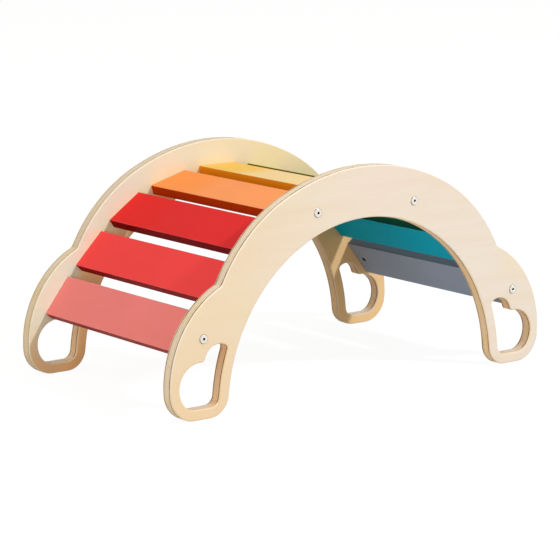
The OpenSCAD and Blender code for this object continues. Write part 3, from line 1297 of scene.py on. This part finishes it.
@dataclass
class SideBoard:
    """A side board of plywood, rounded all round its rim and its handle holes."""

    end: End
    cloud: CloudOutline
    hole: HandleHole
    row: SlatRow
    fastenings: Fastenings
    outer: float = BOARD_OUTER
    thickness: float = BOARD_THICKNESS
    rounding: float = 2.5 * MM
    rounding_steps: int = 6
    bolt_hole_count: int = 32
    dowel_hole_count: int = 24

    def across(self, depth: float) -> float:
        """Returns the Y of a depth under the board's outer face."""
        return self.end.sign * (self.outer - depth)

    def edge(self, shape: Shape, rim: Sequence[RimPoint], into_wood: int, finish: int) -> tuple[list, list]:
        """Builds a rim's rounded wall.

        Args:
            shape: The board's shape.
            rim: The outline.
            into_wood: -1 for the board's own outline, and 1 for a hole, where out points into the wood.
            finish: The number of the wall's finish.

        Returns:
            The rings where the wall meets the outer and the inner face.
        """
        steps = self.rounding_steps
        quarter = [math.pi / 2 * k / steps for k in range(steps + 1)]
        profile = [(self.rounding * (1 - math.sin(a)), self.rounding * (1 - math.cos(a))) for a in quarter]
        profile += [(inset, self.thickness - depth) for inset, depth in reversed(profile)]
        rings = []
        for inset, depth in profile:
            spots = [point.at + into_wood * inset * point.out for point in rim]
            rings.append(shape.ring(Vector((spot.x, self.across(depth), spot.y)) for spot in spots))
        shape.bands(rings, finish)
        return rings[0], rings[-1]

    def bore(self, shape: Shape, spots: Iterable[Vector], middle: Vector, depths: Iterable[float]) -> list:
        """Bores one round hole.

        Args:
            shape: The board's shape.
            spots: The hole's circle about its own middle.
            middle: A point on the hole's middle line.
            depths: How far the hole's first and last ring lie under the board's outer face.

        Returns:
            The two rings.
        """
        rings = []
        for depth in depths:
            y = self.across(depth)
            rings.append(shape.ring(Vector((middle.x + s.x, y, middle.z + s.y)) for s in spots))
        shape.bands(rings)
        return rings

    def bolt_bores(self, shape: Shape) -> tuple[list, list]:
        """Bores the bolts' holes right through.

        Args:
            shape: The board's shape.

        Returns:
            The holes' rings in the outer face and in the inner face.
        """
        outer, inner = [], []
        spots = circle(self.fastenings.bolt_hole_radius, 0, self.bolt_hole_count)
        for name in BOLTED:
            middle = self.row.place(name).translation
            outer_mouth, inner_mouth = self.bore(shape, spots, middle, (0, self.thickness))
            outer.append(outer_mouth)
            inner.append(inner_mouth)
        return outer, inner

    def dowel_bores(self, shape: Shape) -> list:
        """Bores the dowels' blind holes.

        Args:
            shape: The board's shape.

        Returns:
            The holes' rings in the inner face.
        """
        inner = []
        f = self.fastenings
        depths = (self.thickness, self.thickness - (f.dowel_in_board + f.blind_clearance))
        spots = circle(f.dowel_hole_radius, 0, self.dowel_hole_count)
        for name in SlatName:
            for side in (-1, 1):
                middle = self.row.place(name) @ Vector((side * f.dowel_spacing / 2, 0, 0))
                mouth, bottom = self.bore(shape, spots, middle, depths)
                shape.face(bottom)
                inner.append(mouth)
        return inner

    def build(self, wood: bpy.types.Material, cut_wood: bpy.types.Material) -> bpy.types.Object:
        """Builds the board.

        Args:
            wood: The plywood of its faces and rim.
            cut_wood: The plywood of its handle holes.

        Returns:
            The board.
        """
        shape = Shape()
        outer, inner = self.edge(shape, self.cloud.rim(), -1, 0)
        right = self.hole.rim()
        left = [RimPoint(mirrored(p.at), mirrored(p.out)) for p in reversed(right)]
        outer_loops, inner_loops = [outer], [inner]
        for rim in (left, right):
            hole_outer, hole_inner = self.edge(shape, rim, 1, 1)
            outer_loops.append(hole_outer)
            inner_loops.append(hole_inner)
        bolt_outer, bolt_inner = self.bolt_bores(shape)
        shape.flat(outer_loops + bolt_outer)
        shape.flat(inner_loops + bolt_inner + self.dowel_bores(shape))
        board = smooth(shape.piece(f"{self.end.value}_side_board", [wood, cut_wood]))
        return settle(board, "plywood", f"{self.end.value}_panel")


@dataclass
class Slat:
    """A painted slat with rounded long edges, drilled for its dowels, bolts and cross nuts."""

    name: SlatName
    row: SlatRow
    fastenings: Fastenings
    length: float = 2 * (BOARD_OUTER - BOARD_THICKNESS)
    width: float = 83.5 * MM
    thickness: float = 19 * MM
    rounding: float = 2 * MM
    corner_steps: int = 6
    end_bevel: float = 0.4 * MM
    hole_count: int = 32
    lip: float = 0.35 * MM

    @property
    def bolted(self) -> bool:
        """Whether the slat has bolts."""
        return self.name in BOLTED

    def section(self) -> list[Vector]:
        """Steps round the slat's cross section.

        Returns:
            The points as (x, z).
        """
        points = []
        for number in range(4):
            middle_x = (1, -1, -1, 1)[number] * (self.width / 2 - self.rounding)
            middle_z = (1, 1, -1, -1)[number] * (self.thickness / 2 - self.rounding)
            for step in range(self.corner_steps + 1):
                angle = math.pi / 2 * (number + step / self.corner_steps)
                x = middle_x + self.rounding * math.cos(angle)
                points.append(Vector((x, middle_z + self.rounding * math.sin(angle))))
        return points

    def blank(self, paint: bpy.types.Material) -> bpy.types.Object:
        """Builds the slat before it is drilled.

        Args:
            paint: Its paint.

        Returns:
            The slat.
        """
        shape = Shape()
        knee = 0.3 * self.end_bevel
        bevel = ((self.end_bevel, 0.0), (knee, knee), (0.0, self.end_bevel))
        front = [(inset, along - self.length / 2) for inset, along in bevel]
        rear = [(inset, -y) for inset, y in reversed(front)]
        rings = []
        for inset, y in front + rear:
            spots = [self.shrunk(p, inset) for p in self.section()]
            rings.append(shape.ring(Vector((p.x, y, p.y)) for p in spots))
        shape.bands(rings)
        shape.face(rings[0])
        shape.face(rings[-1])
        return shape.piece(f"{self.name.word}_slat_board", [paint], self.row.place(self.name))

    def shrunk(self, point: Vector, inset: float) -> Vector:
        """Returns a point of the section after the slat has got thinner by an inset on every side."""
        x = point.x * (1 - 2 * inset / self.width)
        return Vector((x, point.y * (1 - 2 * inset / self.thickness)))

    def blind_holes(self) -> Shape:
        """Gathers the dowels' and the cross nuts' holes, which don't touch each other.

        Returns:
            The cutter.
        """
        cutter = Shape()
        f = self.fastenings
        radius = f.dowel_hole_radius
        profile = [(radius, -f.dowel_in_slat - f.blind_clearance), (radius, PAST)]
        for end in End:
            for side in (-1, 1):
                spot = Matrix.Translation((side * f.dowel_spacing / 2, 0, 0))
                turned(cutter, profile, self.hole_count, at_end(end, self.length) @ spot)
            if self.bolted:
                spot = Matrix.Translation((0, end.sign * (self.length / 2 - f.nut_setback), 0))
                turned(cutter, self.nut_hole_profile(), self.hole_count, spot)
        return cutter

    def nut_hole_profile(self) -> list[tuple[float, float]]:
        """Draws a cross nut's hole, with its mouth broken by a small lip.

        Returns:
            Its profile, in the slat's own frame.
        """
        f = self.fastenings
        radius = f.nut_hole_radius
        under = -self.thickness / 2
        top = f.nut_length / 2 + f.blind_clearance
        mouth = radius + self.lip
        return [(mouth, under - PAST), (mouth, under), (radius, under + self.lip), (radius, top)]

    def bolt_holes(self) -> Shape:
        """Gathers the bolts' holes.

        Returns:
            The cutter.
        """
        cutter = Shape()
        f = self.fastenings
        deep = f.nut_setback + f.past_nut + f.blind_clearance
        profile = [(f.bolt_hole_radius, -deep), (f.bolt_hole_radius, PAST)]
        for end in End:
            turned(cutter, profile, self.hole_count, at_end(end, self.length))
        return cutter

    def paint(self) -> SlatPaint:
        """Chooses the slat's paint.

        Returns:
            The paint, for a slat of this size.
        """
        return SlatPaint(
            f"{self.name.word}_paint",
            colour=self.name.paint,
            rear_colour=REAR_BOUNCE_PAINT.get(self.name, self.name.paint),
            side_colour=self.name.side_paint,
            half_width=self.width / 2,
            half_length=self.length / 2,
            half_thickness=self.thickness / 2,
        )

    def build(self) -> bpy.types.Object:
        """Builds the slat and paints it.

        Returns:
            The slat.
        """
        slat = self.blank(self.paint().make())
        cut(slat, self.blind_holes())
        if self.bolted:
            cut(slat, self.bolt_holes())
        smooth(slat)
        return settle(slat, f"{self.name.word}_paint", f"{self.name.word}_slat")


@dataclass
class DowelSet:
    """The four fluted dowels of one slat, two in each end."""

    slat: Slat
    flutes: int = 12
    flute_depth: float = 0.3 * MM
    bevel: float = 1 * MM
    points_per_flute: int = 5

    def build(self, wood: bpy.types.Material) -> bpy.types.Object:
        """Builds the dowels.

        Args:
            wood: Their wood.

        Returns:
            The dowels, as one piece.
        """
        f = self.slat.fastenings
        radius = f.dowel_diameter / 2

        def fluted(angle: float) -> float:
            """Returns the dowel's radius at an angle."""
            return radius - self.flute_depth * max(0.0, math.cos(self.flutes * angle)) ** 3

        low, high = -f.dowel_in_slat, f.dowel_in_board
        tip = radius - self.bevel
        profile = [(tip, low), (fluted, low + self.bevel), (fluted, high - self.bevel), (tip, high)]
        shape = Shape()
        for end in End:
            for side in (-1, 1):
                spot = Matrix.Translation((side * f.dowel_spacing / 2, 0, 0))
                spot = at_end(end, self.slat.length) @ spot
                turned(shape, profile, self.flutes * self.points_per_flute, spot)
        word = self.slat.name.word
        place = self.slat.row.place(self.slat.name)
        piece = smooth(shape.piece(f"{word}_slat_fluted_dowels", [wood], place))
        return settle(piece, "dowel_wood", f"{word}_slat_dowels")


@dataclass
class HexBolt:
    """A furniture bolt with a low round head, a hex socket and a thread that reaches past its nut.

    Each bolt stops at a turn of its own, in degrees, by its slat's number and its end.
    """

    slat: Slat
    end: End
    board_thickness: float = BOARD_THICKNESS
    head_diameter: float = 16.5 * MM
    head_height: float = 2.4 * MM
    head_bevel: float = 0.15 * MM
    rim_radius: float = 1.8 * MM
    rim_steps: int = 6
    crown: float = 0.25 * MM
    crown_steps: int = 5
    socket_across: float = 4 * MM
    socket_depth: float = 3.2 * MM
    socket_slope: float = 0.45 * MM
    socket_floor_radius: float = 0.6 * MM
    mouth_bevel: float = 0.6 * MM
    pitch: float = 1 * MM
    thread_depth: float = 0.5 * MM
    threaded: float = 22 * MM
    run_in_turns: float = 1.5
    point: float = 1 * MM
    steps_per_pitch: int = 6
    thread_count: int = 24
    head_count: int = 72
    first_turn: float = 17
    turn_per_slat: float = 41
    turn_per_end: float = 23

    def hexagon(self, angle: float) -> float:
        """Returns the socket's radius at an angle."""
        return self.socket_across / 2 / math.cos(angle % (math.pi / 3) - math.pi / 6)

    def head(self, shape: Shape) -> None:
        """Turns the head, from its flat underside over its crown into the socket.

        Args:
            shape: The bolt's shape.
        """
        count = self.head_count
        radius = self.head_diameter / 2
        top = self.head_height - self.crown
        shank = self.slat.fastenings.bolt_diameter / 2
        profile: list[tuple] = [(shank, 0.0), (radius - self.head_bevel, 0.0), (radius, self.head_bevel)]
        for step in range(self.rim_steps + 1):
            turn = math.pi / 2 * step / self.rim_steps
            reach = radius - self.rim_radius * (1 - math.cos(turn))
            profile.append((reach, top - self.rim_radius * (1 - math.sin(turn))))
        mouth = self.socket_across / 2 / math.cos(math.pi / 6) + self.mouth_bevel
        flat = radius - self.rim_radius
        for step in range(1, self.crown_steps + 1):
            part = step / self.crown_steps
            reach = flat + (mouth - flat) * part
            profile.append((reach, top + self.crown * (1 - (reach / flat) ** 2)))
        rim = top + self.crown * (1 - (mouth / flat) ** 2)
        bottom = self.head_height - self.socket_depth
        profile.append((self.hexagon, rim - self.socket_slope))
        profile.append((self.hexagon, bottom))
        profile.append((self.socket_floor_radius, bottom - self.socket_slope))
        rings = [shape.ring(circle(reach, height, count)) for reach, height in profile]
        shape.bands(rings)
        shape.face(rings[-1])
        shape.face(rings[0])

    def shank(self, shape: Shape) -> None:
        """Turns the shank and cuts its thread.

        Args:
            shape: The bolt's shape.
        """
        f = self.slat.fastenings
        length = self.board_thickness + f.nut_setback + f.past_nut
        radius = f.bolt_diameter / 2
        count = self.thread_count
        rings = [shape.ring(circle(radius, 0.0, count))]
        rings.append(shape.ring(circle(radius, -(length - self.threaded), count)))
        steps = round(self.threaded / self.pitch * self.steps_per_pitch)
        for step in range(1, steps + 1):
            along = self.threaded * step / steps
            run_in = min(1.0, along / (self.run_in_turns * self.pitch))
            tip = max(0.0, along - self.threaded + self.point)

            def crest(
                angle: float, along: float = along, run_in: float = run_in, tip: float = tip
            ) -> float:
                """Draws the thread at this height.

                Args:
                    angle: The angle round the shank.
                    along: How far the height lies along the thread.
                    run_in: How much of the thread's depth is cut here.
                    tip: How much the tip has drawn in here.

                Returns:
                    The thread's radius.
                """
                phase = (along / self.pitch + angle / math.tau) % 1.0
                groove = 1 - abs(2 * phase - 1)
                return radius - run_in * self.thread_depth * groove - tip

            rings.append(shape.ring(circle(crest, -(length - self.threaded) - along, count)))
        shape.bands(rings)
        shape.face(rings[0])
        shape.face(rings[-1])

    def build(self, steel: bpy.types.Material) -> bpy.types.Object:
        """Builds the bolt.

        Args:
            steel: Its steel.

        Returns:
            The bolt.
        """
        shape = Shape()
        self.head(shape)
        self.shank(shape)
        name = self.slat.name
        turn = self.first_turn + self.turn_per_slat * list(SlatName).index(name)
        turn = math.radians(turn + self.turn_per_end * self.end.sign)
        lift = Matrix.Translation((0, 0, self.board_thickness)) @ Matrix.Rotation(turn, 4, "Z")
        place = self.slat.row.place(name) @ at_end(self.end, self.slat.length) @ lift
        bolt = smooth(shape.piece(f"{name.word}_slat_{self.end.value}_hex_bolt", [steel], place))
        return settle(bolt, "bolt_steel", f"{name.word}_slat_{self.end.value}_bolt")


@dataclass
class CrossNut:
    """A round cross nut that lies upright in its slat, with a slot for a screwdriver in its open end."""

    slat: Slat
    end: End
    bevel: float = 0.6 * MM
    slot_width: float = 1.4 * MM
    slot_depth: float = 1.2 * MM
    count: int = 48
    bore_count: int = 32

    def build(self, steel: bpy.types.Material) -> bpy.types.Object:
        """Builds the nut.

        Args:
            steel: Its steel.

        Returns:
            The nut.
        """
        f = self.slat.fastenings
        radius = f.nut_diameter / 2
        half = f.nut_length / 2
        shape = Shape()
        inner = radius - self.bevel
        profile = [(inner, -half), (radius, self.bevel - half), (radius, half - self.bevel), (inner, half)]
        turned(shape, profile, self.count)
        name = self.slat.name
        place = self.slat.row.place(name) @ Matrix.Translation(
            (0, self.end.sign * (self.slat.length / 2 - f.nut_setback), 0)
        )
        nut = shape.piece(f"{name.word}_slat_{self.end.value}_cross_nut", [steel], place)
        cutter = Shape()
        bore = f.bolt_diameter / 2 + f.thread_gap
        lying = Matrix.Rotation(math.pi / 2, 4, "X")
        turned(cutter, [(bore, -radius - PAST), (bore, radius + PAST)], self.bore_count, lying)
        self.slot(cutter, radius, half)
        cut(nut, cutter)
        smooth(nut)
        return settle(nut, "nut_steel", f"{name.word}_slat_{self.end.value}_barrel_nut")

    def slot(self, cutter: Shape, radius: float, half: float) -> None:
        """Adds the screwdriver's slot, which lies in line with the bolt.

        Args:
            cutter: What takes the slot's volume.
            radius: The nut's radius.
            half: Half of the nut's length.
        """
        x = self.slot_width / 2
        y = radius + PAST
        rings = []
        for z in (-half - PAST, -half + self.slot_depth):
            rings.append(cutter.ring(Vector(p) for p in ((-x, -y, z), (x, -y, z), (x, y, z), (-x, y, z))))
        cutter.bands(rings)
        cutter.face(rings[0])
        cutter.face(rings[1])


# ---- The studio ----


class Lamp(NamedTuple):
    """A square soft lamp that faces the arch.

    It hangs in a direction from the arch, at a distance, with sides of a size. Its level is how bright
    it makes a white surface that faces it, where 1 is white.
    """

    name: str
    way: tuple[float, float, float]
    far: float
    size: float
    level: float


def seen_directly(tree: bpy.types.NodeTree) -> Socket:
    """Tells what looks at a thing from what only takes light from it.

    Args:
        tree: The nodes of the floor or the surround.

    Returns:
        1 for what the camera sees, straight, in a mirror or through glass, and 0 for the rest.
    """
    path = tree.nodes.new("ShaderNodeLightPath")
    seen = path.outputs["Is Camera Ray"]
    for ray in ("Is Glossy Ray", "Is Transmission Ray"):
        either = tree.nodes.new("ShaderNodeMath")
        either.operation = "MAXIMUM"
        tree.links.new(seen, either.inputs[0])
        tree.links.new(path.outputs[ray], either.inputs[1])
        seen = either.outputs[0]
    return seen


@dataclass
class Studio:
    """The floor, the light and the camera."""

    azimuth: float = math.radians(-37.958)
    elevation: float = math.radians(11.021)
    roll: float = math.radians(-0.128)
    eye: tuple[float, float, float] = (-2.71703, -3.46853, 1.02562)
    lens: float = 151.96
    film_width: float = 36
    sight: float = 200
    sky: float = 0.46
    sky_tint: Colour = (1.0, 0.96, 0.90, 1.0)
    floor_tint: Colour = (0.59, 0.54, 0.465, 1.0)
    seen_floor_tint: Colour = (0.12, 0.12, 0.12, 1.0)
    seen_floor_glow: float = 0.925
    floor_reach: float = 30.0
    floor_gap: float = 0.2 * MM
    lamp_tint: Colour = (0.98, 1.0, 1.05, 1.0)
    lamp_aim: tuple[float, float, float] = (0, 0, 0.2)
    lamps: tuple[Lamp, ...] = (
        Lamp("key_lamp", way=(0.377, -0.672, 0.636), far=12.0, size=0.8, level=0.54),
        Lamp("high_lamp", way=(-0.7, -0.1, 0.7), far=4.0, size=3.0, level=0.22),
        Lamp("low_lamp", way=(-0.84, -0.50, 0.12), far=12.0, size=3.9, level=0.25),
    )

    def build_camera(self) -> bpy.types.Object:
        """Sets the camera up at the photograph's angle.

        Returns:
            The camera.
        """
        back = Vector(
            (
                math.sin(self.azimuth) * math.cos(self.elevation),
                -math.cos(self.azimuth) * math.cos(self.elevation),
                math.sin(self.elevation),
            )
        )
        right = (-back).cross(Vector((0, 0, 1))).normalized()
        up = right.cross(-back)
        level = right * math.cos(self.roll) - up * math.sin(self.roll)
        upright = right * math.sin(self.roll) + up * math.cos(self.roll)
        data = bpy.data.cameras.new("camera")
        data.lens = self.lens
        data.sensor_width = self.film_width
        data.clip_end = self.sight
        camera = bpy.data.objects.new("camera", data)
        bpy.context.scene.collection.objects.link(camera)
        turn = Matrix((level, upright, back)).transposed().to_4x4()
        camera.matrix_world = Matrix.Translation(self.eye) @ turn
        bpy.context.scene.camera = camera
        return camera

    def build_sky(self) -> None:
        """Makes a white surround for what looks at it, and a soft even sky for the light."""
        world = bpy.data.worlds.new("surround")
        bpy.context.scene.world = world
        world.use_nodes = True
        tree = world.node_tree
        seen = seen_directly(tree)
        strength = tree.nodes.new("ShaderNodeMapRange")
        tree.links.new(seen, strength.inputs["Value"])
        strength.inputs["To Min"].default_value = self.sky
        strength.inputs["To Max"].default_value = 1.0
        background = tree.nodes["Background"]
        tint = tree.nodes.new("ShaderNodeMix")
        tint.data_type = "RGBA"
        tree.links.new(seen, tint.inputs["Factor"])
        tint.inputs[6].default_value = self.sky_tint
        tint.inputs[7].default_value = WHITE
        tree.links.new(tint.outputs[2], background.inputs["Color"])
        tree.links.new(strength.outputs[0], background.inputs["Strength"])

    def build_floor(self) -> bpy.types.Object:
        """Lays a pale floor that shows white to the camera and keeps the arch's shadow.

        Returns:
            The floor.
        """
        shape = Shape()
        r = self.floor_reach
        shape.face(shape.ring(Vector(p) for p in ((-r, -r, 0), (r, -r, 0), (r, r, 0), (-r, r, 0))))
        floor = shape.piece("studio_floor", [self.floor_material()])
        floor.location.z = -self.floor_gap
        return floor

    def floor_material(self) -> bpy.types.Material:
        """Writes the floor's material.

        Returns:
            The material.
        """
        material = bpy.data.materials.new("studio_floor")
        material.use_nodes = True
        tree = material.node_tree
        tree.nodes.clear()
        output = tree.nodes.new("ShaderNodeOutputMaterial")
        paper = tree.nodes.new("ShaderNodeBsdfDiffuse")
        paper.inputs["Color"].default_value = self.floor_tint
        seen_paper = tree.nodes.new("ShaderNodeBsdfDiffuse")
        seen_paper.inputs["Color"].default_value = self.seen_floor_tint
        glow = tree.nodes.new("ShaderNodeEmission")
        glow.inputs["Color"].default_value = WHITE
        glow.inputs["Strength"].default_value = self.seen_floor_glow
        both = tree.nodes.new("ShaderNodeAddShader")
        tree.links.new(seen_paper.outputs[0], both.inputs[0])
        tree.links.new(glow.outputs[0], both.inputs[1])
        mix = tree.nodes.new("ShaderNodeMixShader")
        tree.links.new(seen_directly(tree), mix.inputs["Fac"])
        tree.links.new(paper.outputs[0], mix.inputs[1])
        tree.links.new(both.outputs[0], mix.inputs[2])
        tree.links.new(mix.outputs[0], output.inputs["Surface"])
        return material

    def build_lamp(self, lamp: Lamp) -> bpy.types.Object:
        """Hangs a lamp.

        Args:
            lamp: Which one.

        Returns:
            The lamp.
        """
        data = bpy.data.lights.new(lamp.name, "AREA")
        data.shape = "SQUARE"
        data.size = lamp.size
        data.energy = lamp.level * (math.pi * lamp.far) ** 2
        data.color = self.lamp_tint[:3]
        light = bpy.data.objects.new(lamp.name, data)
        bpy.context.scene.collection.objects.link(light)
        out = Vector(lamp.way).normalized()
        light.location = Vector(self.lamp_aim) + lamp.far * out
        light.rotation_euler = (-out).to_track_quat("-Z", "Y").to_euler()
        return light

    def build(self) -> None:
        """Builds the whole studio."""
        bpy.context.scene.view_settings.view_transform = "Standard"
        self.build_camera()
        self.build_sky()
        self.build_floor()
        for lamp in self.lamps:
            self.build_lamp(lamp)


def main() -> None:
    """Builds the studio, the boards, the slats and their fastenings, in that order."""
    logging.basicConfig(level=logging.INFO, format="%(message)s")
    Studio().build()
    cloud = CloudOutline()
    hole = HandleHole(cloud)
    row = SlatRow(cloud)
    fastenings = Fastenings()
    woods = {End.FRONT: FRONT_PLYWOOD.make(), End.REAR: REAR_PLYWOOD.make()}
    cut_wood = PLYWOOD_IN_HOLES.make()
    bolt_steel = BOLT_STEEL.make()
    nut_steel = NUT_STEEL.make()
    dowel_wood = BEECH.make()
    for end in End:
        SideBoard(end, cloud, hole, row, fastenings).build(woods[end], cut_wood)
    for name in SlatName:
        slat = Slat(name, row, fastenings)
        slat.build()
        DowelSet(slat).build(dowel_wood)
        if slat.bolted:
            for end in End:
                HexBolt(slat, end).build(bolt_steel)
                CrossNut(slat, end).build(nut_steel)


if __name__ == "__main__":
    main()
